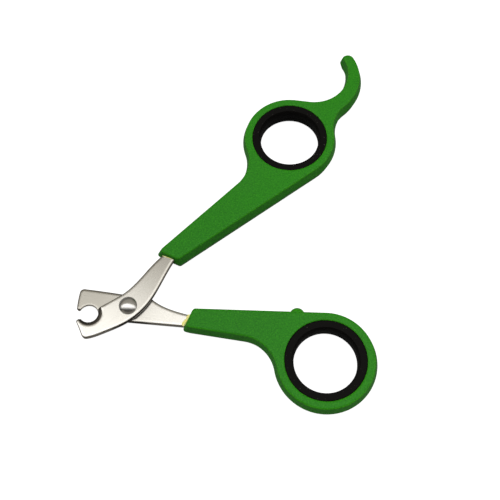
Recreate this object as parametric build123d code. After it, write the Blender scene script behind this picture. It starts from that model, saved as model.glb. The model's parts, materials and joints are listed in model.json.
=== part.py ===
from build123d import *
import math
import os

# Scissor nail clipper for pets. Two flat steel blades turn on one rivet, and each
# is glued by its tang into a plastic handle whose finger ring has a rubber lining.
# Every jaw has a round notch, and the two notches close like a shutter on the nail.
#
# The tool lies flat. It is drawn about the rivet's axis, +X along the inner edge of
# the lower handle and +Z towards the rivet's dome, and at the end it is moved so
# that the origin is the bottom centre of its box. Millimetres and degrees.

# --- handles ---
HANDLE_T = 7.2  # thickness of both handles
PARTING_Z = HANDLE_T / 2  # plane where the two mould halves met: the widest outline
DRAFT = 14.0  # the sides lean in from the parting plane to both faces
RING_R = 16.58  # finger ring, outside, on the parting plane
THROAT_R = 12.0  # hollow curve where the arm's outer edge runs into the ring
EDGE_R = 0.7  # rounding of the faces' outer edges
MOUTH_CORNER_R = 1.1  # rounding of the corners beside the mouth
SEAT_R = 13.2  # recess for the lining's flanges, in both faces
SEAT_DEPTH = 2.2
WEB_R = 12.3  # hole through the web that is left between the recesses
SEAT_EDGE_R = 0.3

# --- rubber ring linings ---
LINING_SINK = 0.2  # how far the flanges lie below the handle's faces
FINGER_R = 10.2  # finger hole at its narrowest
FLANGE_INNER_R = 10.9  # where the flat flange turns into the flared hole
LAND_LENGTH = 2.2  # straight middle of the finger hole
FLANGE_EDGE_R = 0.35

# --- blades ---
BLADE_T = 1.8  # ground thickness of each blade
SHEAR_Z = PARTING_Z  # the plane that the two blades slide on
RUN_GAP = 0.04  # free play between the blades, and under the rivet's dome
BLADE_EDGE_R = 0.5  # tumbled edges round both faces of each blade; only the notch stays sharp
NOTCH_R = 3.2  # cutting notch at the shear plane
NOTCH_OUTER_R = 4.2  # the same notch at the blade's outer face, after grinding
NOTCH_LAND = 0.35  # straight depth of the cutting edge before the ground bevel
LIP_R = 0.6
JAW_CORNER_R = 1.5

# --- rivet ---
SHANK_R = 2.0
PIVOT_PLAY = 0.03  # radial clearance in the blade that turns
DOME_R = 2.95
DOME_H = 1.6
DOME_RIM = 0.35  # upright rim under the dome
TAIL_R = 2.6  # the hammered-over end under the rear blade
TAIL_H = 1.1
TAIL_BULGE = (0.15, 0.3)  # how far the tail's rounded side passes inside its corner

# --- closing stop ---
STOP_X = 55.53
STOP_R = 2.4
STOP_TOP_Y = 1.5
STOP_DOME_H = 1.7
STOP_SOCKET = 1.1  # how deep its collar sits in the handle's edge
STOP_STEM_R = 1.3
STOP_STEM_LENGTH = 2.6

# --- lower handle, in plan ---
LOWER_RING = (64.85, -16.55)
LOWER_MOUTH = (18.46, -6.97)  # a point on the mouth, and the mouth's direction
LOWER_MOUTH_ANGLE = 69.0
LOWER_OUTER = (19.35, -7.85)  # a point on the straight outer edge, and its direction
LOWER_OUTER_ANGLE = -7.3
LOWER_INNER_ANGLE = -0.1

# --- upper handle, in plan ---
UPPER_RING = (51.54, 64.17)
UPPER_MOUTH = (9.67, 17.92)
UPPER_MOUTH_ANGLE = 157.0
UPPER_OUTER = (17.58, 29.51)
UPPER_OUTER_ANGLE = 46.0
UPPER_INNER_ANGLE = 37.8

# --- finger rest on the upper handle's ring: arcs that touch one another ---
REST_BACK = (59.56, 90.24)  # centre of the long convex back
REST_BACK_R = 17.8
REST_CRADLE = (59.75, 91.86)  # centre of the hollow that the little finger lies in
REST_CRADLE_R = 11.84
REST_CAP_R = 3.1  # the blunt end, which is rounder towards the back
REST_CAP_ANGLE = 29.9  # where the end's centre lies, seen from the back's centre
REST_CORNER_R = 1.4
REST_ROOT_R = 11.5  # hollow curve from the ring to the back of the rest

# --- blades, in plan ---
FRONT_NOTCH = (-13.0, -2.5)
FRONT_NOTCH_SHIFT = (0.5, -0.5)  # the grinding wheel cuts deeper into the jaw
FRONT_LIP = (-16.75, -5.6)
FRONT_TIP_BOW = (-15.37, -8.18)
FRONT_CORNER = (-13.7, -11.6)
FRONT_BELLY = [
    FRONT_CORNER,
    (-10.3, -10.75),
    (-7.1, -9.35),
    (0.15, -5.5),
    (6.1, 0.5),
    (9.75, 7.5),
    (13.62, 16.13),
]
FRONT_SHOULDER = [(9.37, 17.72), (6.2, 14.03), (2.05, 8.4), (-0.6, 5.45), (-3.3, 3.25)]
FRONT_TANG_END = (28.2, 33.3)
FRONT_TANG_ANGLE = 44.5

REAR_NOTCH = (-13.1, -3.0)
REAR_NOTCH_SHIFT = (0.4, 0.6)
REAR_CORNER = (-16.8, 6.22)
REAR_TIP_BOW = (-17.22, 2.4)
REAR_LIP = (-17.32, -1.15)
REAR_HEEL = (-7.8, -4.4)
REAR_SPINE_BOW = (-3.0, 4.68)
REAR_SHOULDER = (7.4, 3.15)
REAR_NECK = [REAR_SHOULDER, (10.9, 1.02), (14.7, -0.44), (19.6, -1.74)]
REAR_NECK_END = (18.8, -5.95)
REAR_TANG_END = (44.6, -5.6)
REAR_TANG_ANGLE = -4.2

TANG_W = 3.7  # width of the tangs' buried ends
TANG_KEY_R = 0.8  # half-round notches that lock a tang in its handle
TANG_KEY_SETBACK = 5.0

# --- glue squeezed out of the mouths, on top of the tangs ---
LOWER_GLUE = (0.65, 0.5)  # reach along the tang from the mouth's widest line, and height
UPPER_GLUE = (-0.15, 0.45)
GLUE_HOLLOW = 0.35  # how far the bead's face curves in, as a share of its height

PICK_TOLERANCE = 0.01  # for choosing edges by their size and place


# %% points and arcs


def polar(centre, radius, angle):
    """The point at that distance and direction from a centre."""
    turn = math.radians(angle)
    return (centre[0] + radius * math.cos(turn), centre[1] + radius * math.sin(turn))


def bearing(centre, point):
    """The direction of a point from a centre, in degrees."""
    return math.degrees(math.atan2(point[1] - centre[1], point[0] - centre[0]))


def towards(start, goal, distance):
    """The point a given distance from start on the way to goal."""
    return polar(start, distance, bearing(start, goal))


def crossing(p, p_angle, q, q_angle):
    """Where the line through p and the line through q meet."""
    turn = math.radians(q_angle - p_angle)
    offset = math.dist(p, q) * math.sin(math.radians(q_angle - bearing(p, q)))
    return polar(p, offset / math.sin(turn), p_angle)


def centre_touching(a, a_distance, b, b_distance, side):
    """The centre at those distances from a and b, to the left (1) or right (-1) of a to b."""
    gap = math.dist(a, b)
    along = (gap**2 + a_distance**2 - b_distance**2) / (2 * gap)
    swing = math.degrees(math.acos(along / a_distance))
    return polar(a, a_distance, bearing(a, b) + side * swing)


def centre_beside(line_point, line_angle, radius, hub, hub_distance):
    """The centre on a line's left, radius away from it, and hub_distance short of a hub."""
    on_rail = polar(line_point, radius, line_angle + 90)
    off_axis = math.dist(on_rail, hub) * math.sin(math.radians(bearing(on_rail, hub) - line_angle))
    foot = polar(hub, off_axis, line_angle - 90)
    return polar(foot, -math.sqrt(hub_distance**2 - off_axis**2), line_angle)


def bend(centre, start, end, turning):
    """The arc about a centre from start to end, turning 1 for anticlockwise or -1."""
    first = bearing(centre, start)
    sweep = turning * ((turning * (bearing(centre, end) - first)) % 360)
    middle = polar(centre, math.dist(centre, start), first + sweep / 2)
    return ThreePointArc(start, middle, end)


def plate(outline, low, high):
    """A flat plate with that outline between two heights."""
    return extrude(Pos(0, 0, low) * make_face(outline), high - low)


def rounded_rims(body, radius):
    """The body with the edges round its lowest face and round its highest face rounded."""
    for place in (0, -1):
        body = fillet(body.faces().sort_by(Axis.Z)[place].outer_wire().edges(), radius)
    return body


# %% handles


def arm_ends(ring, mouth, mouth_angle, inner_angle, outer, outer_angle, side):
    """Corner and touching points of an arm; side is 1 where the ring hangs to its right."""
    inner_touch = polar(ring, RING_R, inner_angle + side * 90)
    inner_end = crossing(inner_touch, inner_angle, mouth, mouth_angle)
    outer_end = crossing(outer, outer_angle, mouth, mouth_angle)
    return inner_touch, inner_end, outer_end


def lower_outline():
    """Arm and ring of the lower handle, on the parting plane."""
    touch, inner_end, outer_end = arm_ends(
        LOWER_RING, LOWER_MOUTH, LOWER_MOUTH_ANGLE, LOWER_INNER_ANGLE, LOWER_OUTER, LOWER_OUTER_ANGLE, 1
    )
    # The throat lies to the right of the outer edge, so its rail is measured backwards.
    flipped = centre_beside(
        (LOWER_OUTER[0], -LOWER_OUTER[1]),
        -LOWER_OUTER_ANGLE,
        THROAT_R,
        (LOWER_RING[0], -LOWER_RING[1]),
        RING_R + THROAT_R,
    )
    throat = (flipped[0], -flipped[1])
    throat_start = polar(throat, THROAT_R, LOWER_OUTER_ANGLE + 90)
    throat_end = towards(LOWER_RING, throat, RING_R)
    return [
        Line(inner_end, touch),
        bend(LOWER_RING, touch, throat_end, -1),
        bend(throat, throat_end, throat_start, 1),
        Line(throat_start, outer_end),
        Line(outer_end, inner_end),
    ]


def upper_outline():
    """Arm, ring and finger rest of the upper handle, on the parting plane."""
    touch, inner_end, outer_end = arm_ends(
        UPPER_RING, UPPER_MOUTH, UPPER_MOUTH_ANGLE, UPPER_INNER_ANGLE, UPPER_OUTER, UPPER_OUTER_ANGLE, -1
    )
    throat = centre_beside(UPPER_OUTER, UPPER_OUTER_ANGLE, THROAT_R, UPPER_RING, RING_R + THROAT_R)
    throat_start = polar(throat, THROAT_R, UPPER_OUTER_ANGLE - 90)
    throat_end = towards(UPPER_RING, throat, RING_R)

    root = centre_touching(UPPER_RING, RING_R + REST_ROOT_R, REST_BACK, REST_BACK_R + REST_ROOT_R, -1)
    root_start = towards(UPPER_RING, root, RING_R)
    root_end = towards(REST_BACK, root, REST_BACK_R)
    cap = polar(REST_BACK, REST_BACK_R - REST_CAP_R, REST_CAP_ANGLE)
    corner = centre_touching(cap, REST_CAP_R - REST_CORNER_R, REST_CRADLE, REST_CRADLE_R + REST_CORNER_R, -1)
    back_end = towards(REST_BACK, cap, REST_BACK_R)
    cap_end = towards(cap, corner, REST_CAP_R)
    cradle_start = towards(REST_CRADLE, corner, REST_CRADLE_R)

    # A short straight edge touches both the cradle's arc and the ring.
    apart = math.dist(UPPER_RING, REST_CRADLE)
    slant = math.degrees(math.acos((RING_R + REST_CRADLE_R) / apart))
    leaning = bearing(UPPER_RING, REST_CRADLE) + slant
    cradle_end = polar(REST_CRADLE, -REST_CRADLE_R, leaning)
    crown = polar(UPPER_RING, RING_R, leaning)
    return [
        Line(inner_end, touch),
        bend(UPPER_RING, touch, root_start, 1),
        bend(root, root_start, root_end, -1),
        bend(REST_BACK, root_end, back_end, 1),
        bend(cap, back_end, cap_end, 1),
        bend(corner, cap_end, cradle_start, 1),
        bend(REST_CRADLE, cradle_start, cradle_end, -1),
        Line(cradle_end, crown),
        bend(UPPER_RING, crown, throat_end, 1),
        bend(throat, throat_end, throat_start, -1),
        Line(throat_start, outer_end),
        Line(outer_end, inner_end),
    ]


def handle(outline, ring):
    """A moulding with drafted sides, rounded edges and a stepped hole for the lining."""
    upper_half = extrude(Pos(0, 0, PARTING_Z) * make_face(outline), HANDLE_T / 2, taper=DRAFT)
    body = upper_half + mirror(upper_half, about=Plane.XY.offset(PARTING_Z))

    mouth_edge = outline[-1]
    corners = body.edges().filter_by(lambda e: abs(e.tangent_at(0.5).Z) > 0.5)
    beside_mouth = [
        edge
        for edge in corners
        for end in (mouth_edge @ 0, mouth_edge @ 1)
        if math.dist(tuple(edge.center())[:2], tuple(end)[:2]) < HANDLE_T / 4
    ]
    body = fillet(beside_mouth, MOUTH_CORNER_R)
    body = rounded_rims(body, EDGE_R)

    hub = Pos(ring[0], ring[1], PARTING_Z)
    body -= hub * Cylinder(WEB_R, 2 * HANDLE_T)
    for face_z, side in ((0, Align.MIN), (HANDLE_T, Align.MAX)):
        seat = Cylinder(SEAT_R, SEAT_DEPTH, align=(Align.CENTER, Align.CENTER, side))
        body -= Pos(ring[0], ring[1], face_z) * seat
    rims = body.edges().filter_by(GeomType.CIRCLE)
    rims = rims.filter_by(lambda e: abs(e.radius - SEAT_R) < PICK_TOLERANCE and e.length > 6 * SEAT_R)
    rims = rims.filter_by(lambda e: abs(abs(e.center().Z - PARTING_Z) - HANDLE_T / 2) < PICK_TOLERANCE)
    return fillet(rims, SEAT_EDGE_R)


def ring_lining(ring):
    """A rubber grommet: two flanges, a waist that grips the web and a flared finger hole."""
    top = HANDLE_T / 2 - LINING_SINK
    land = LAND_LENGTH / 2
    flange_step = HANDLE_T / 2 - SEAT_DEPTH
    flare_rise = FLANGE_INNER_R - FINGER_R
    flare_r = (flare_rise**2 + (top - land) ** 2) / (2 * flare_rise)
    flare_centre = (FINGER_R + flare_r, land)
    half = [
        Line((FINGER_R, 0), (FINGER_R, land)),
        bend(flare_centre, (FINGER_R, land), (FLANGE_INNER_R, top), -1),
        Line((FLANGE_INNER_R, top), (SEAT_R - FLANGE_EDGE_R, top)),
        bend(
            (SEAT_R - FLANGE_EDGE_R, top - FLANGE_EDGE_R),
            (SEAT_R - FLANGE_EDGE_R, top),
            (SEAT_R, top - FLANGE_EDGE_R),
            -1,
        ),
        Line((SEAT_R, top - FLANGE_EDGE_R), (SEAT_R, flange_step)),
        Line((SEAT_R, flange_step), (WEB_R, flange_step)),
        Line((WEB_R, flange_step), (WEB_R, 0)),
        Line((WEB_R, 0), (FINGER_R, 0)),
    ]
    upper_half = revolve(Plane.XZ * make_face(half), Axis.Z)
    lining = upper_half + mirror(upper_half, about=Plane.XY)
    return Pos(ring[0], ring[1], PARTING_Z) * lining


# %% blades


def tang_end(start, end, tip, angle):
    """Edges of a tang's buried end, from one side of its neck round to the other."""
    left = polar(tip, TANG_W / 2, angle + 90)
    right = polar(tip, TANG_W / 2, angle - 90)
    return [Line(start, right), Line(right, left), Line(left, end)]


def tang_keys(tip, angle):
    """The two half-round notches near the end of a tang."""
    waist = polar(tip, -TANG_KEY_SETBACK, angle)
    sides = [polar(waist, TANG_W / 2, angle + turn) for turn in (90, -90)]
    return [Pos(x, y, SHEAR_Z) * Cylinder(TANG_KEY_R, 4 * BLADE_T) for x, y in sides]


def notch_cutter(centre, shift, outwards):
    """Straight at the cutting edge, then an oblique cone that opens towards the outer face."""
    land_z = SHEAR_Z + outwards * (RUN_GAP / 2 + NOTCH_LAND)
    outer_z = SHEAR_Z + outwards * (RUN_GAP / 2 + BLADE_T)
    land = Pos(centre[0], centre[1], SHEAR_Z) * Cylinder(NOTCH_R, 4 * BLADE_T)
    small = Pos(centre[0], centre[1], land_z) * Circle(NOTCH_R)
    large = Pos(centre[0] + shift[0], centre[1] + shift[1], outer_z) * Circle(NOTCH_OUTER_R)
    return land, loft([small, large], ruled=True)


def blade(outline, rounded, outwards, notch, notch_shift, hole_r, tang_tip, tang_angle):
    """A ground blade on one side of the shear plane: outwards is 1 for above and -1 for below."""
    near = SHEAR_Z + outwards * RUN_GAP / 2
    far = near + outwards * BLADE_T
    body = plate(outline, min(near, far), max(near, far))
    for corner, radius in rounded:
        upright = body.edges().filter_by(Axis.Z).sort_by_distance((corner[0], corner[1], near))[0]
        body = fillet(upright, radius)
    body = rounded_rims(body, BLADE_EDGE_R)
    for cutter in notch_cutter(notch, notch_shift, outwards):
        body -= cutter
    body -= Pos(0, 0, SHEAR_Z) * Cylinder(hole_r, 4 * BLADE_T)
    for key in tang_keys(tang_tip, tang_angle):
        body -= key
    return body


def front_outline():
    """The blade on the dome's side, whose hooked jaw cuts upwards."""
    return [
        Line(FRONT_SHOULDER[-1], FRONT_LIP),
        ThreePointArc(FRONT_LIP, FRONT_TIP_BOW, FRONT_CORNER),
        Spline(FRONT_BELLY),
        *tang_end(FRONT_BELLY[-1], FRONT_SHOULDER[0], FRONT_TANG_END, FRONT_TANG_ANGLE),
        Spline(FRONT_SHOULDER),
    ]


def rear_outline():
    """The blade underneath, whose jaw faces the other one."""
    return [
        ThreePointArc(REAR_CORNER, REAR_SPINE_BOW, REAR_SHOULDER),
        Spline(REAR_NECK),
        *reversed(tang_end(REAR_NECK_END, REAR_NECK[-1], REAR_TANG_END, REAR_TANG_ANGLE)),
        Line(REAR_NECK_END, REAR_HEEL),
        Line(REAR_HEEL, REAR_LIP),
        ThreePointArc(REAR_LIP, REAR_TIP_BOW, REAR_CORNER),
    ]


# %% rivet, stop and glue


def rivet():
    """Domed head, shank through both blades, and a hammered-over tail."""
    dome_foot = SHEAR_Z + 1.5 * RUN_GAP + BLADE_T
    tail_top = SHEAR_Z - RUN_GAP / 2 - BLADE_T
    rim_top = dome_foot + DOME_RIM
    crown = DOME_H - DOME_RIM
    dome_ball = (DOME_R**2 + crown**2) / (2 * crown)
    tail_low = tail_top - TAIL_H
    tail_side = (TAIL_R - TAIL_BULGE[0], tail_low + TAIL_BULGE[1])
    profile = [
        Line((0, tail_low), (SHANK_R, tail_low)),
        ThreePointArc((SHANK_R, tail_low), tail_side, (TAIL_R, tail_top)),
        Line((TAIL_R, tail_top), (SHANK_R, tail_top)),
        Line((SHANK_R, tail_top), (SHANK_R, dome_foot)),
        Line((SHANK_R, dome_foot), (DOME_R, dome_foot)),
        Line((DOME_R, dome_foot), (DOME_R, rim_top)),
        bend((0, rim_top + crown - dome_ball), (DOME_R, rim_top), (0, rim_top + crown), 1),
        Line((0, rim_top + crown), (0, tail_low)),
    ]
    return revolve(Plane.XZ * make_face(profile), Axis.Z)


def closing_stop():
    """A round-headed stud pressed into the lower handle's inner edge."""
    shoulder = STOP_TOP_Y - STOP_DOME_H
    collar = -STOP_SOCKET
    ball = (STOP_R**2 + STOP_DOME_H**2) / (2 * STOP_DOME_H)
    profile = [
        Line((0, collar - STOP_STEM_LENGTH), (STOP_STEM_R, collar - STOP_STEM_LENGTH)),
        Line((STOP_STEM_R, collar - STOP_STEM_LENGTH), (STOP_STEM_R, collar)),
        Line((STOP_STEM_R, collar), (STOP_R, collar)),
        Line((STOP_R, collar), (STOP_R, shoulder)),
        bend((0, STOP_TOP_Y - ball), (STOP_R, shoulder), (0, STOP_TOP_Y), 1),
        Line((0, STOP_TOP_Y), (0, collar - STOP_STEM_LENGTH)),
    ]
    return Pos(STOP_X, 0, PARTING_Z) * revolve(make_face(profile), Axis.Y)


def glue_bead(outline, mouth, mouth_angle, tang_top, size):
    """A hollow-sided fillet of set glue between a mouth and the top of the tang."""
    reach, height = size
    back = -HANDLE_T / 4  # well inside the handle, which is cut away from the bead
    hollow = (reach - height * (1 - GLUE_HOLLOW), height * GLUE_HOLLOW)
    section = [
        Line((back, 0), (reach, 0)),
        ThreePointArc((reach, 0), hollow, (reach - height, height)),
        Line((reach - height, height), (back, height)),
        Line((back, height), (back, 0)),
    ]
    end_plane = Plane(
        origin=(mouth[0], mouth[1], tang_top),
        x_dir=(*polar((0, 0), 1, mouth_angle + 90), 0),
        z_dir=(*polar((0, 0), 1, mouth_angle), 0),
    )
    fillet_bar = extrude(end_plane * make_face(section), 2 * HANDLE_T, both=True)
    return fillet_bar & plate(outline, tang_top, tang_top + height)


# %% the whole tool

upper_handle = handle(upper_outline(), UPPER_RING)
lower_handle = handle(lower_outline(), LOWER_RING)

front_blade = blade(
    front_outline(),
    [(FRONT_LIP, LIP_R), (FRONT_CORNER, JAW_CORNER_R)],
    1,
    FRONT_NOTCH,
    FRONT_NOTCH_SHIFT,
    SHANK_R + PIVOT_PLAY,
    FRONT_TANG_END,
    FRONT_TANG_ANGLE,
)
rear_blade = blade(
    rear_outline(),
    [(REAR_LIP, LIP_R), (REAR_CORNER, JAW_CORNER_R)],
    -1,
    REAR_NOTCH,
    REAR_NOTCH_SHIFT,
    SHANK_R,
    REAR_TANG_END,
    REAR_TANG_ANGLE,
)
bumper_stud = closing_stop()

front_top = SHEAR_Z + RUN_GAP / 2 + BLADE_T
rear_top = SHEAR_Z - RUN_GAP / 2
upper_glue = glue_bead(front_outline(), UPPER_MOUTH, UPPER_MOUTH_ANGLE, front_top, UPPER_GLUE)
lower_glue = glue_bead(rear_outline(), LOWER_MOUTH, LOWER_MOUTH_ANGLE, rear_top, LOWER_GLUE)
pieces = {
    "front_blade": front_blade,
    "rear_blade": rear_blade,
    "pivot_rivet": rivet(),
    "upper_handle": upper_handle - front_blade,
    "lower_handle": lower_handle - rear_blade - bumper_stud,
    "upper_ring_lining": ring_lining(UPPER_RING),
    "lower_ring_lining": ring_lining(LOWER_RING),
    "bumper_stud": bumper_stud,
    "upper_tang_glue": upper_glue - upper_handle,
    "lower_tang_glue": lower_glue - lower_handle,
}

box = Compound([solid for piece in pieces.values() for solid in piece.solids()]).bounding_box()
to_origin = Pos(-box.center().X, -box.center().Y, -box.min.Z)

os.makedirs("parts", exist_ok=True)
for name, piece in pieces.items():
    export_step(to_origin * piece, f"parts/{name}.step")
    print(name, "solids", len(piece.solids()), "volume", round(piece.volume, 1))

print("size", [round(value, 2) for value in box.size])
print("rivet axis", [round(value, 3) for value in to_origin.position])
for name, ring in (("upper ring", UPPER_RING), ("lower ring", LOWER_RING)):
    centre = to_origin * Pos(ring[0], ring[1], PARTING_Z)
    print(name, [round(value, 3) for value in centre.position])
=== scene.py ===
# %% [markdown]
# # A scissor nail clipper for pets
#
# Two notched steel blades turn on a rivet. Each is glued into a moulded plastic handle
# whose finger ring has a rubber lining. The metal and plastic parts were drawn as solids
# and arrive here already placed, so this lesson is about what drawing can't give: how
# ground steel, grained plastic, rubber and set glue take the light.
#
# Everything is in metres, in the same frame as the solids: +Z points out of the rivet's
# dome, and the tool lies on the plane z = 0.

import json
import math

import bmesh
import bpy
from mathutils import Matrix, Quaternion, Vector


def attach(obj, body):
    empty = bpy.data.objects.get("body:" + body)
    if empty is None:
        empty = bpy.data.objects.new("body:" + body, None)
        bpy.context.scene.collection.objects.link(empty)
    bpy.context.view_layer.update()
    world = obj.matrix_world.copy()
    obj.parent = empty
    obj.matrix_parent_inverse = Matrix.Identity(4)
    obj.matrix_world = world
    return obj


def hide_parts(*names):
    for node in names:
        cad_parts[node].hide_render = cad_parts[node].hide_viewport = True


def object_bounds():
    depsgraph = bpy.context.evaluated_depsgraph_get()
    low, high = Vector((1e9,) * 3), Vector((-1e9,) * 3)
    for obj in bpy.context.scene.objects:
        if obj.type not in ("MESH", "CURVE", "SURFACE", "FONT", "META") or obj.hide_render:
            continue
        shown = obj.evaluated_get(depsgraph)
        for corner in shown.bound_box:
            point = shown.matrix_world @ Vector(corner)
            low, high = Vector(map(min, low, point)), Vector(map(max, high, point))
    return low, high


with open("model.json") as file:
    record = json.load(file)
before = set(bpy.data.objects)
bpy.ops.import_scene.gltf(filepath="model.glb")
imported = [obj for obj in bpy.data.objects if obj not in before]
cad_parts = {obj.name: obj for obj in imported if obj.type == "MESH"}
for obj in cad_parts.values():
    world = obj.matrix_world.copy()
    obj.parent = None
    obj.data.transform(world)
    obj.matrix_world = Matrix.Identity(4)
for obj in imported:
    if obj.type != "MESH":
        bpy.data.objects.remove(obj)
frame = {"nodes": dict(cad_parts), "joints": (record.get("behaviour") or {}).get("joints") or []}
cad_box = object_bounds()

MM = 0.001
nodes = frame["nodes"]
hinge = frame["joints"][0]
rivet_axis = Vector(hinge["pos_m"])
top_z = cad_box[1].z
print("box in mm", [round(side / MM, 1) for side in cad_box[1] - cad_box[0]])
print("rivet at", [round(value / MM, 1) for value in rivet_axis])

# %% [markdown]
# ## Shader maths that reads like arithmetic
#
# A finish is a formula: so much green, a little lighter along the edges, a little duller
# where a slow noise says so. Typed as node-by-node code, such a formula disappears among
# links. Here one small class wraps a node's output, and `1 - mask` or `grain * 0.2` adds
# the Math node that works it out. Numbers use Math nodes, places and directions use
# Vector Math, and colours are only ever mixed, because a Math node would turn them grey.

# %% a wire: one output socket


class Wire:
    """One output of a node. Sums, differences and products of wires add their own nodes."""

    def __init__(self, socket):
        self.socket = socket

    @classmethod
    def node(cls, tree, kind, settings=None, inputs=None, output=0):
        """Any node: its type, then its settings, then what its sockets hold or are fed by."""
        made = tree.nodes.new(kind)
        for name, value in (settings or {}).items():
            setattr(made, name, value)
        for name, value in (inputs or {}).items():
            if isinstance(value, Wire):
                tree.links.new(value.socket, made.inputs[name])
            else:
                made.inputs[name].default_value = value
        return cls(made.outputs[output]) if made.outputs else None

    def work(self, operation, first, second=None):
        """A Math node on numbers, or a Vector Math node when a direction or place is involved."""
        wires = [value for value in (first, second) if isinstance(value, Wire)]
        tree = self.socket.id_data
        if all(wire.socket.type != "VECTOR" for wire in wires):
            inputs = {0: first} if second is None else {0: first, 1: second}
            return Wire.node(tree, "ShaderNodeMath", {"operation": operation}, inputs)
        if operation == "MULTIPLY" and not isinstance(second, (Wire, tuple)):
            return Wire.node(
                tree, "ShaderNodeVectorMath", {"operation": "SCALE"}, {0: first, "Scale": second}
            )
        return Wire.node(tree, "ShaderNodeVectorMath", {"operation": operation}, {0: first, 1: second})

    def __add__(self, other):
        return self.work("ADD", self, other)

    def __radd__(self, other):
        return self.work("ADD", self, other)

    def __sub__(self, other):
        return self.work("SUBTRACT", self, other)

    def __rsub__(self, other):
        return self.work("SUBTRACT", other, self)

    def __mul__(self, other):
        return self.work("MULTIPLY", self, other)

    def __rmul__(self, other):
        return self.work("MULTIPLY", self, other)

    def __truediv__(self, other):
        return self.work("DIVIDE", self, other)

    def __rtruediv__(self, other):
        return self.work("DIVIDE", other, self)

    def __abs__(self):
        return self.work("ABSOLUTE", self)

    def part(self, axis):
        """One of the three numbers of a place or direction."""
        return Wire.node(self.socket.id_data, "ShaderNodeSeparateXYZ", inputs={0: self}, output=axis)

    def length(self):
        """How long a direction is, or how far a place is from zero."""
        return Wire.node(
            self.socket.id_data, "ShaderNodeVectorMath", {"operation": "LENGTH"}, {0: self}, output="Value"
        )

    def fade(self, low, high):
        """0 below low, 1 above high, and smooth in between; low may be the larger one."""
        return Wire.node(
            self.socket.id_data,
            "ShaderNodeMapRange",
            {"interpolation_type": "SMOOTHSTEP"},
            {"Value": self, "From Min": low, "From Max": high},
        )

    def paint(self, bare, covered):
        """Mixes two colours, bare where this wire is 0 and covered where it is 1."""
        return Wire.node(
            self.socket.id_data,
            "ShaderNodeMix",
            {"data_type": "RGBA"},
            {0: self, COLOUR_A: bare, COLOUR_B: covered},
            output=COLOUR_OUT,
        )


COLOUR_A, COLOUR_B, COLOUR_OUT = 6, 7, 2  # a Mix node's colour sockets, which share their names
print("a wire has", [name for name in vars(Wire) if not name.startswith("__")])

# %% [markdown]
# ## Coordinates that belong to the part
#
# A pattern has to stay on its part when the tool opens, and to have its real size. Object
# coordinates do both: they turn with the part, and times 1000 they are millimetres. The
# object's own normal says which way a surface faces. All the flat faces here point along
# Z and all the walls stand nearly upright, so the size of the normal's Z alone tells a
# face (1) from a rounded edge (between) and a wall (near 0).

# %% the bench that every finish starts from
RIVET = tuple(value / MM for value in rivet_axis)  # the finishes change with the distance from here


def solid(colour):
    """A linear colour with full opacity."""
    return (*colour, 1.0)


def bench(name):
    """An empty material, the place on the part in millimetres, and how much a face looks up or down."""
    material = bpy.data.materials.new(name)
    material.use_nodes = True
    tree = material.node_tree
    tree.nodes.clear()
    place = Wire.node(tree, "ShaderNodeTexCoord", output="Object") * (1 / MM)
    flatness = abs(Wire.node(tree, "ShaderNodeTexCoord", output="Normal").part("Z"))
    return material, tree, place, flatness


def noise(tree, place, size, detail=2.0, roughness=0.5):
    """Smooth random grain from 0 to 1, whose blotches are about size millimetres across."""
    return Wire.node(
        tree,
        "ShaderNodeTexNoise",
        inputs={"Vector": place, "Scale": 1.0 / size, "Detail": detail, "Roughness": roughness},
    )


BEVEL_SAMPLES = 12  # rays that feel for a nearby edge


def finish_with(material, tree, drives, constants, height, depth, softening=None):
    """The shader: what varies is linked, what is the same all over is set on its own socket.

    The height is the relief, and depth is its full size in metres. A softening is how far
    in from each edge, in metres, the surface seems to lean over, as a tumbled part's does.
    """
    relief = {"Height": height, "Distance": depth}
    if softening is not None:
        relief["Normal"] = Wire.node(
            tree, "ShaderNodeBevel", {"samples": BEVEL_SAMPLES}, {"Radius": softening}
        )
    bump = Wire.node(tree, "ShaderNodeBump", inputs=relief)
    shader = Wire.node(tree, "ShaderNodeBsdfPrincipled", inputs={**constants, **drives, "Normal": bump})
    Wire.node(tree, "ShaderNodeOutputMaterial", inputs={"Surface": shader})
    print(material.name, "has", len(tree.nodes), "nodes")
    return material


print("distances are measured from", [round(value, 1) for value in RIVET])

# %% [markdown]
# ## Moulded green plastic
#
# Both handles are solid mouldings in a warm grass green. The mould was spark-eroded, so
# the skin has a fine even grain and a satin shine. The pigment is a little uneven. Rounded
# edges and ring rims are painted lighter and yellower, as a painted highlight. The walls are
# painted darker than the faces and the arms darker than the rings, as painted shade, and
# below the parting line the walls are painted paler, as a painted reflection of the floor.
#
# The grain could be an image, but noise at the right size does it without a seam. The
# painted highlight on the rims needs no image mask: the rounded edges are exactly the places
# where the normal is between upright and level.

# %% the handle finish
GREEN_FACE = (0.026, 0.33, 0.005)
GREEN_WALL_SHADE = (0.02, 0.26, 0.004)
GREEN_HIGHLIGHT_AND_FLECK = (0.07, 0.47, 0.01)
GREEN_DULL = (0.034, 0.29, 0.016)
GREEN_PIT_AND_SHADE = (0.009, 0.13, 0.003)
GREEN_FLOOR_REFLECTION = (0.1, 0.26, 0.07)
FLOOR_REFLECTION_HEIGHTS = (3.4, 1.2)  # mm above the table where the painted floor reflection on the walls starts, and is strongest
PLASTIC_SOFTENING = 0.9 * MM
GRAIN_DEPTH = 0.05 * MM
ARM_SHADE_REACH = (75.0, 30.0)  # mm from the rivet: the arms are painted darker than the rings, as painted shade
HANDLE_ROUGHNESS = 0.46


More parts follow.
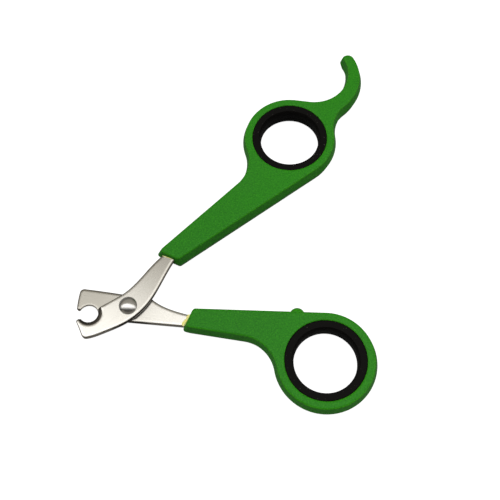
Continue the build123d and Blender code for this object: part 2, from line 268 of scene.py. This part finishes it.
def moulded_plastic(name, face, shaded_wall, rim, dull, roughness):
    """Grained plastic: the colours of its faces, its walls in painted shade, its rounded edges' painted
    highlight (also its grain's light flecks), and dull patches.
    """
    material, tree, place, flatness = bench(name)
    clouds = noise(tree, place, 14.0, detail=3.0)
    mottle = noise(tree, place, 1.3, detail=3.0, roughness=0.6)
    grain = noise(tree, place, 0.42, detail=2.0, roughness=0.6)
    rounded = flatness.fade(0.3, 0.62) * flatness.fade(0.995, 0.8)
    walls = flatness.fade(0.5, 0.26)
    floor_reflection = walls * place.part("Z").fade(*FLOOR_REFLECTION_HEIGHTS)
    arm_shade = (place - RIVET).length().fade(*ARM_SHADE_REACH)
    scuffs = noise(tree, place * (1.0, 0.25, 1.0), 2.4, detail=5.0, roughness=0.7).fade(0.62, 0.75)

    # From the broadest mark to the finest, each laid over the ones before it.
    # painted shade: the walls are darker than the faces
    colour = walls.paint(solid(face), solid(shaded_wall))
    # painted reflection of the floor: the walls are paler low down
    colour = (floor_reflection * 0.45).paint(colour, solid(GREEN_FLOOR_REFLECTION))
    # painted highlight: the rounded edges are lighter and yellower
    colour = (rounded * (0.35 + mottle * 0.5)).paint(colour, solid(rim))
    colour = (clouds.fade(0.35, 0.75) * 0.35 + mottle * 0.2).paint(colour, solid(dull))
    # painted shade darkens the arms, and the grain's pits are darker too
    colour = (arm_shade * 0.2 + grain.fade(0.5, 0.68) * 0.5).paint(colour, solid(GREEN_PIT_AND_SHADE))
    colour = (grain.fade(0.48, 0.3) * 0.5).paint(colour, solid(rim))
    shine = (grain - 0.5) * 0.16 + (clouds - 0.5) * 0.12 - rounded * 0.06 + scuffs * 0.05 + roughness
    return finish_with(
        material,
        tree,
        {"Base Color": colour, "Roughness": shine},
        {"IOR": 1.49, "Specular IOR Level": 0.22},
        height=grain * 0.7 + mottle * 0.5,
        depth=GRAIN_DEPTH,
        softening=PLASTIC_SOFTENING,
    )


handle_green = moulded_plastic(
    "handle_green", GREEN_FACE, GREEN_WALL_SHADE, GREEN_HIGHLIGHT_AND_FLECK, GREEN_DULL, HANDLE_ROUGHNESS
)

# %% the closing stop is the same plastic, smoother and a little lighter
STOP_FACE = (0.035, 0.4, 0.009)
STOP_WALL_SHADE = (0.03, 0.36, 0.008)
STOP_ROUGHNESS = 0.34
stop_green = moulded_plastic("stop_green", STOP_FACE, STOP_WALL_SHADE, GREEN_HIGHLIGHT_AND_FLECK, GREEN_FACE, STOP_ROUGHNESS)

# %% [markdown]
# ## Ground steel
#
# The blades are stamped from sheet, ground flat and tumbled. The flat faces keep fine
# scratches along the blade, and the upright sides keep the short scratches of the belt
# that ground their outline, so they run from face to face. Sides are a little rougher
# than the faces. Sides and rounded edges are painted darker than the faces, as painted
# shade, and a painted shadow makes them darkest in the gap beside the rivet. Each blade's
# faces are painted brighter towards one end, as a painted highlight: the front blade's
# towards its jaw, and the rear blade's towards its tang.
# Tumbling has also rounded each edge over softly, which a Bevel node adds to the normal.
#
# Scratches are noise that is stretched a hundredfold along one direction. On the faces the
# coordinates are first turned to the blade's own direction, and on the sides they are
# squeezed along Z, so that one formula serves a curved outline all the way round.

# %% the blade finish
STEEL_LIT_FACE = (0.84, 0.82, 0.77)
STEEL_DULL_AND_SHADED = (0.5, 0.48, 0.43)
STEEL_SIDE_SHADE_AND_GRIT = (0.26, 0.225, 0.185)
STEEL_EDGE_SHADE = (0.25, 0.22, 0.18)
STEEL_GAP_SHADOW = (0.02, 0.016, 0.012)
STEEL_SOFTENING = 1.1 * MM
SCRATCH_DEPTH = 0.006 * MM
GAP_SHADOW_REACH = (10.5, 7.5)  # mm from the rivet where the painted shadow on the walls starts, and is darkest


def ground_steel(name, grain_angle, shaded_end, lit_end):
    """Steel with scratches at grain_angle, painted brighter more and more between two places along it, as a
    painted highlight.
    """
    material, tree, place, flatness = bench(name)
    from_rivet = place - RIVET
    turned = Wire.node(
        tree,
        "ShaderNodeVectorRotate",
        {"rotation_type": "Z_AXIS"},
        {"Vector": from_rivet, "Angle": -math.radians(grain_angle)},
    )
    along = noise(tree, turned * (0.03, 3.0, 0.5), 0.4, detail=3.0, roughness=0.65)
    upright = noise(tree, place * (3.0, 3.0, 0.04), 0.55, detail=2.0, roughness=0.6)
    tarnish = noise(tree, place, 6.0, detail=4.0, roughness=0.55)
    grit = noise(tree, place, 0.3, detail=2.0, roughness=0.7)
    walls = flatness.fade(0.5, 0.12)
    shaded_edges = flatness.fade(0.97, 0.84) * flatness.fade(0.12, 0.5)
    gap_shadow = flatness.fade(0.8, 0.6) * from_rivet.length().fade(*GAP_SHADOW_REACH)
    lit_along = turned.part("X").fade(shaded_end, lit_end)

    # The faces with their painted highlight first, then their wear, and then the painted shade
    # of the sides and edges and the painted shadow in the gap over them.
    colour = lit_along.paint(solid(STEEL_DULL_AND_SHADED), solid(STEEL_LIT_FACE))
    colour = (tarnish.fade(0.45, 0.8) * 0.14).paint(colour, solid(STEEL_DULL_AND_SHADED))
    colour = (grit.fade(0.45, 0.75) * 0.22 + along * 0.08).paint(colour, solid(STEEL_SIDE_SHADE_AND_GRIT))
    # painted shade: the sides are dark
    colour = (walls * 0.85).paint(colour, solid(STEEL_SIDE_SHADE_AND_GRIT))
    colour = (walls * upright.fade(0.45, 0.7) * 0.35).paint(colour, solid(STEEL_DULL_AND_SHADED))
    # painted shade: the rounded edges are dark
    colour = (shaded_edges * 0.8).paint(colour, solid(STEEL_EDGE_SHADE))
    # painted shadow: near black beside the rivet
    colour = (gap_shadow * 0.95).paint(colour, solid(STEEL_GAP_SHADOW))
    scratches = (1.0 - walls) * (along * 0.5 + grit * 0.35) + walls * upright
    shine = 0.21 + (along - 0.5) * 0.12 + (grit - 0.5) * 0.12 + walls * 0.08
    return finish_with(
        material,
        tree,
        {"Base Color": colour, "Roughness": shine},
        {"Metallic": 1.0},
        height=scratches,
        depth=SCRATCH_DEPTH,
        softening=STEEL_SOFTENING,
    )


FRONT_GRAIN, REAR_GRAIN = 38.0, -7.0  # the scratches' directions in plan, in degrees
FRONT_LIGHT_FADE = (26.0, -12.0)  # mm along each blade from the rivet, jaw negative and tang positive: where the painted highlight starts, and where it is full
REAR_LIGHT_FADE = (-12.0, 16.0)  # where the polish starts, and where it is full
front_steel = ground_steel("front_steel", FRONT_GRAIN, *FRONT_LIGHT_FADE)
rear_steel = ground_steel("rear_steel", REAR_GRAIN, *REAR_LIGHT_FADE)

# %% [markdown]
# ## The rivet's polished dome
#
# The rivet's head was formed in a polished die, so it is the one mirror on the tool. Small
# dents and a ring of fine turning marks keep it from looking like a rendered ball.

# %% the rivet finish
DOME_BRIGHT = (0.74, 0.73, 0.7)
DOME_FILM = (0.4, 0.38, 0.34)
DOME_RIM_SHADE = (0.05, 0.046, 0.04)
TURNING_PITCH = 34.0  # radians of turning mark per millimetre
DENT_DEPTH = 0.02 * MM


def polished_steel(name):
    """A mirror-like dome with faint dents, a thin film, turning marks round the rivet's axis, and a rim
    painted near black as painted shade.
    """
    material, tree, place, flatness = bench(name)
    radius = ((place - RIVET) * (1.0, 1.0, 0.0)).length()
    turning = radius.work("SINE", radius * TURNING_PITCH)
    dents = noise(tree, place, 0.9, detail=3.0)
    film = noise(tree, place, 2.2, detail=3.0)
    rim = flatness.fade(0.45, 0.1)
    # painted shade: the dome's steep rim is near black
    colour = (rim * 0.8).paint(solid(DOME_BRIGHT), solid(DOME_RIM_SHADE))
    colour = (film.fade(0.4, 0.8) * 0.25).paint(colour, solid(DOME_FILM))
    shine = 0.19 + film * 0.07 + rim * 0.1
    return finish_with(
        material,
        tree,
        {"Base Color": colour, "Roughness": shine},
        {"Metallic": 1.0},
        height=dents * 0.8 + turning * 0.1,
        depth=DENT_DEPTH,
    )


rivet_steel = polished_steel("rivet_polished")

# %% [markdown]
# ## Rubber ring linings
#
# Each finger ring is lined with a black rubber grommet. Its flange shows a dull dark grey
# with dust in its pores, and the flared bore inside is darker still, because less light
# reaches it: the flange and its rims are painted paler as painted light, and the bore keeps
# the darker colour as painted shade. Rubber is a rough dielectric: no metal, hardly any
# highlight, and a pale speck here and there.

# %% the rubber finish
RUBBER = (0.0035, 0.0031, 0.0028)
RUBBER_WORN_AND_LIT = (0.007, 0.0064, 0.0058)
DUST = (0.12, 0.115, 0.1)
PORE_DEPTH = 0.03 * MM


def black_rubber(name):
    """Black rubber, painted a little paler on the flange and its rims as painted light, with pale specks and
    worn patches.
    """
    material, tree, place, flatness = bench(name)
    pores = noise(tree, place, 0.35, detail=3.0, roughness=0.7)
    patches = noise(tree, place, 5.0, detail=3.0)
    specks = noise(tree, place, 0.5, detail=0.0).fade(0.78, 0.83)
    rounded = flatness.fade(0.2, 0.5) * flatness.fade(0.99, 0.75)
    flange = flatness.fade(0.75, 0.97)
    # painted light: the flange and rounded rims are paler than the bore; worn patches lighten it too
    colour = (flange * 0.35 + rounded * 0.35).paint(solid(RUBBER), solid(RUBBER_WORN_AND_LIT))
    colour = (patches.fade(0.4, 0.75) * 0.4).paint(colour, solid(RUBBER_WORN_AND_LIT))
    colour = (specks * flange * 0.8).paint(colour, solid(DUST))
    shine = 0.56 + (pores - 0.5) * 0.2 + (patches - 0.5) * 0.12
    return finish_with(
        material,
        tree,
        {"Base Color": colour, "Roughness": shine},
        {"IOR": 1.5, "Specular IOR Level": 0.08},
        height=pores,
        depth=PORE_DEPTH,
    )


lining_rubber = black_rubber("lining_rubber")

# %% each solid gets its finish
finishes = {
    "front_blade": front_steel,
    "rear_blade": rear_steel,
    "pivot_rivet": rivet_steel,
    "upper_handle": handle_green,
    "lower_handle": handle_green,
    "upper_ring_lining": lining_rubber,
    "lower_ring_lining": lining_rubber,
    "bumper_stud": stop_green,
}
for node_name, material in finishes.items():
    node_mesh = nodes[node_name].data
    node_mesh.materials.clear()
    node_mesh.materials.append(material)
print("finished", len(finishes), "of", len(nodes), "solids")

# %% [markdown]
# ## Glue at the mouths
#
# The blades are set in their handles with a pale yellow adhesive. A little was squeezed
# out on top of each tang and hardened there: thick in the corner against the plastic, and
# feathering out in an uneven front on the steel. The drawn solids are straight bars, fine
# for weight, but a straight front is just what real glue never has.
#
# Each bead is lofted again here. It starts from its solid's own length and direction, and
# its cross-section, which is a quarter of a drop, swells and shrinks along it by a sum of
# a few sines, so the result is uneven but the same on each run. Subdivision rounds it.
#
# The adhesive lets light through, so it glows a little from inside. A faint emission of its
# own colour gives that at this size, where light scattering inside it costs far more time.

# %% the glue's finish


def linear(red, green, blue):
    """A screen colour, 0 to 255, as the linear light values that a shader uses."""
    shares = [value / 255 for value in (red, green, blue)]
    return tuple(share / 12.92 if share <= 0.04045 else ((share + 0.055) / 1.055) ** 2.4 for share in shares)


GLUE_CLEAR = linear(252, 247, 170)
GLUE_THICK = linear(246, 232, 120)
GLUE_BUBBLE = (0.95, 0.93, 0.75)
GLUE_DEPTH = 0.04 * MM


def set_glue(name):
    """Pale yellow glue, cloudy, with a few small bubbles."""
    material, tree, place, _ = bench(name)
    cloud = noise(tree, place, 0.8, detail=3.0)
    bubbles = noise(tree, place, 0.22, detail=0.0).fade(0.7, 0.78)
    colour = cloud.fade(0.35, 0.7).paint(solid(GLUE_CLEAR), solid(GLUE_THICK))
    colour = (bubbles * 0.5).paint(colour, solid(GLUE_BUBBLE))
    # painted light: a faint emission gives the glow of light scattered inside the glue
    return finish_with(
        material,
        tree,
        {"Base Color": colour, "Emission Color": colour, "Roughness": 0.24 + cloud * 0.16},
        {"IOR": 1.5, "Emission Strength": 0.28},
        height=cloud + bubbles * 0.3,
        depth=GLUE_DEPTH,
    )


glue_yellow = set_glue("glue_yellow")

# %% the bead's shape
WANDER_WAVES = ((5.1, 1.6), (11.3, 2.6), (23.7, 5.0))  # each wave's pitch, and what divides it
STATIONS = 28  # cross-sections along a bead
SECTION_POINTS = 7  # points on the open, curved side of a cross-section


def wander(share, seed):
    """A smooth uneven course between about -1 and 1, for a share of the length from 0 to 1."""
    return sum(math.sin(share * pitch + seed * pitch) / weight for pitch, weight in WANDER_WAVES)


def bead_ends(node):
    """The two ends of a drawn bead's longest line, level with the steel under it."""
    points = [vertex.co.copy() for vertex in node.data.vertices]
    floor = min(point.z for point in points)
    first = max(points, key=lambda p: max((p - q).length for q in points))
    last = max(points, key=lambda p: (p - first).length)
    return [Vector((end.x, end.y, floor)) for end in (first, last)]


def glue_bead(name, node, reach, height, root, seed):
    """A drop-sectioned strip of glue along a mouth, uneven in reach and height.

    Its root is how far it reaches back, into the mouth's wall.
    """
    start, end = bead_ends(node)
    along = end - start
    outwards = Vector((along.y, -along.x, 0)).normalized()
    if outwards.dot(rivet_axis - start) < 0:
        outwards = -outwards
    mesh = bmesh.new()
    rows = []
    for station in range(STATIONS + 1):
        share = station / STATIONS
        taper = math.sin(math.pi * (0.06 + 0.88 * share)) ** 0.4  # full along most of it
        out = reach * taper * (1 + 0.42 * wander(share, seed))
        up = height * taper * (1 + 0.25 * wander(share, seed + 2.0))
        foot = start + along * (0.03 + 0.94 * share)  # it stops just short of both ends
        heel = foot - outwards * root
        row = [mesh.verts.new(heel), mesh.verts.new(heel + Vector((0, 0, up)))]
        for step in range(SECTION_POINTS + 1):
            turn = math.pi / 2 * (1 - step / SECTION_POINTS)
            hollow = 1 - 0.22 * math.sin(2 * turn)  # a drop's side is drawn in, not round
            row.append(
                mesh.verts.new(
                    foot + outwards * out * math.cos(turn) * hollow
                    + Vector((0, 0, up * math.sin(turn) * hollow))
                )
            )
        rows.append(row)
    for row, following in zip(rows, rows[1:]):
        for index in range(len(row)):
            after = (index + 1) % len(row)
            mesh.faces.new((row[index], row[after], following[after], following[index]))
    mesh.faces.new(rows[0])
    mesh.faces.new(rows[-1])
    bmesh.ops.recalc_face_normals(mesh, faces=mesh.faces)
    data = bpy.data.meshes.new(name)
    mesh.to_mesh(data)
    mesh.free()
    for polygon in data.polygons:
        polygon.use_smooth = True
    data.materials.append(glue_yellow)
    piece = bpy.data.objects.new(name, data)
    bpy.context.scene.collection.objects.link(piece)
    smooth = piece.modifiers.new("rounding", "SUBSURF")
    smooth.levels = smooth.render_levels = 1
    print(name, "is", round(along.length / MM, 2), "mm long")
    return piece


# %% the two beads
lower_bead = glue_bead(
    "lower_glue_squeeze", nodes["lower_tang_glue"], 0.9 * MM, 0.6 * MM, root=0.5 * MM, seed=0.4
)
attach(lower_bead, "lower_half")
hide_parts("lower_tang_glue")
upper_bead = glue_bead(
    "upper_glue_squeeze", nodes["upper_tang_glue"], 0.06 * MM, 0.07 * MM, root=0.15 * MM, seed=1.7
)
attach(upper_bead, "upper_half")
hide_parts("upper_tang_glue")

# %% [markdown]
# ## Studio: floor and light
#
# The tool lies in a white tent: soft light from all over, brightest overhead, dimmer behind
# and darkest towards the viewer, where the tent is open. Polished steel shows that room, so
# the sky's brightness follows its direction. It could be built from many area lights, but
# a sky that is a formula of its direction gives the same softness with less noise. The
# floor is plain and pale, and returns less light to the tool than it shows, as a sheet of
# backlit glass does.

# %% the floor
FLOOR_HALF = 2.5  # metres, far beyond every view
FLOOR_Z = -0.03 * MM  # a hair below the tool, so that no two faces share a plane
PAPER = 0.42  # how much light the floor returns to the tool
BACKLIGHT = 0.95  # what the camera sees on top of that

floor_mesh = bpy.data.meshes.new("floor")
corners = [(-FLOOR_HALF, -FLOOR_HALF, FLOOR_Z), (FLOOR_HALF, -FLOOR_HALF, FLOOR_Z)]
corners += [(FLOOR_HALF, FLOOR_HALF, FLOOR_Z), (-FLOOR_HALF, FLOOR_HALF, FLOOR_Z)]
floor_mesh.from_pydata(corners, [], [(0, 1, 2, 3)])
floor = bpy.data.objects.new("floor", floor_mesh)
bpy.context.scene.collection.objects.link(floor)

floor_paper = bpy.data.materials.new("floor_paper")
floor_paper.use_nodes = True
tree = floor_paper.node_tree
tree.nodes.clear()
paper = Wire.node(tree, "ShaderNodeBsdfDiffuse", inputs={"Color": solid((PAPER,) * 3)})
lit = Wire.node(tree, "ShaderNodeEmission", inputs={"Color": solid((1, 1, 1)), "Strength": BACKLIGHT})
seen = Wire.node(tree, "ShaderNodeLightPath", output="Is Camera Ray")
glow = Wire.node(tree, "ShaderNodeAddShader", inputs={0: paper, 1: lit})
shown = Wire.node(tree, "ShaderNodeMixShader", inputs={0: seen, 1: paper, 2: glow})
Wire.node(tree, "ShaderNodeOutputMaterial", inputs={"Surface": shown})
floor_mesh.materials.append(floor_paper)
print("floor", 2 * FLOOR_HALF, "m wide")

# %% the sky
STRIP_LIGHT = 1.45  # brightness of the long softbox overhead
STRIP_BACK = (0.47, 0.27)  # its far edge and its near edge, as slopes from straight up:
STRIP_FRONT = (-0.55, -0.12)  # each pair is where it has faded out and where it is full
STRIP_ENDS = (0.12, 0.55)  # it also fades towards both ends, by height above the horizon
TENT_BACK, TENT_FRONT = 0.34, 0.05  # the tent's wall behind the tool, and its open front
TENT_FOOT = (0.45, 0.1)  # the wall darkens between these heights
TENT_FOOT_LOSS = 0.75  # the share of its light that it has lost at the horizon
ROOM_LIGHT = 0.24  # what comes in low at the open front, seen mostly in the steel from behind
ROOM_REACH = (0.62, 0.3)  # the heights where it fades out, and where it is full
ROOM_SIDE = (-0.2, -0.7)  # and the depths, which are negative in front
TENT_DEPTHS = (-0.4, 0.5)  # the depths between which the tent brightens from front to back
TENT_CLOTH = (1.0, 0.95, 0.83)  # the cloth is a little warm beside the lamp
HORIZON = 0.02  # slopes are worked out for no lower height than this

sky = bpy.data.worlds.new("tent")
bpy.context.scene.world = sky
sky.use_nodes = True
tree = sky.node_tree
tree.nodes.clear()
direction = Wire.node(tree, "ShaderNodeTexCoord", output="Generated")
height, depth = direction.part("Z"), direction.part("Y")
slope = depth / height.work("MAXIMUM", height, HORIZON)
strip = slope.fade(*STRIP_BACK) * slope.fade(*STRIP_FRONT) * height.fade(*STRIP_ENDS)
foot = 1 - height.fade(*TENT_FOOT) * TENT_FOOT_LOSS
room = height.fade(*ROOM_REACH) * depth.fade(*ROOM_SIDE) * ROOM_LIGHT
tent = (depth.fade(*TENT_DEPTHS) * (TENT_BACK - TENT_FRONT) + TENT_FRONT) * foot + room
seen = Wire.node(tree, "ShaderNodeLightPath", output="Is Camera Ray")
bright = strip * STRIP_LIGHT
shade = (bright / (bright + tent)).paint(solid(TENT_CLOTH), solid((1, 1, 1)))
strength = (bright + tent) * (1 - seen) + seen
background = Wire.node(
    tree, "ShaderNodeBackground", inputs={"Color": seen.paint(shade, solid((1, 1, 1))), "Strength": strength}
)
Wire.node(tree, "ShaderNodeOutputWorld", inputs={"Surface": background})
print("sky has", len(tree.nodes), "nodes")

# %% [markdown]
# ## Camera
#
# The tool is seen from 23 degrees off overhead, from the lower handle's side, through a
# short telephoto lens 28 centimetres away. Its place could be three plain numbers, but a
# photographer thinks in what it looks at, how far off it stands, how steeply it looks down
# and how much it leans, so it is worked out from those.

# %% the camera
AIM = rivet_axis + Vector((39.3, 20.3, 0)) * MM
CAMERA_DISTANCE = 277.2 * MM
CAMERA_SIDE = 5.61  # degrees round to the right of the tool's own front, -Y
CAMERA_STEEPNESS = 66.93  # degrees above level
CAMERA_LEAN = 3.53  # degrees about the line of sight
CAMERA_LENS = 59.76  # focal length, in the camera's own millimetres
NEAREST_SEEN = 0.01

camera_data = bpy.data.cameras.new("camera")
camera_data.lens = CAMERA_LENS
camera = bpy.data.objects.new("camera", camera_data)
bpy.context.scene.collection.objects.link(camera)
side, steep = math.radians(CAMERA_SIDE), math.radians(CAMERA_STEEPNESS)
away = Vector((math.sin(side) * math.cos(steep), -math.cos(side) * math.cos(steep), math.sin(steep)))
camera.location = Vector((AIM.x, AIM.y, top_z)) + away * CAMERA_DISTANCE
camera.rotation_mode = "QUATERNION"
lean = Quaternion((0, 0, 1), -math.radians(CAMERA_LEAN))
camera.rotation_quaternion = (-away).to_track_quat("-Z", "Y") @ lean
camera_data.clip_start = NEAREST_SEEN
bpy.context.scene.camera = camera
bpy.context.scene.view_settings.view_transform = "Standard"
print("camera at", [round(value / MM, 1) for value in camera.location])
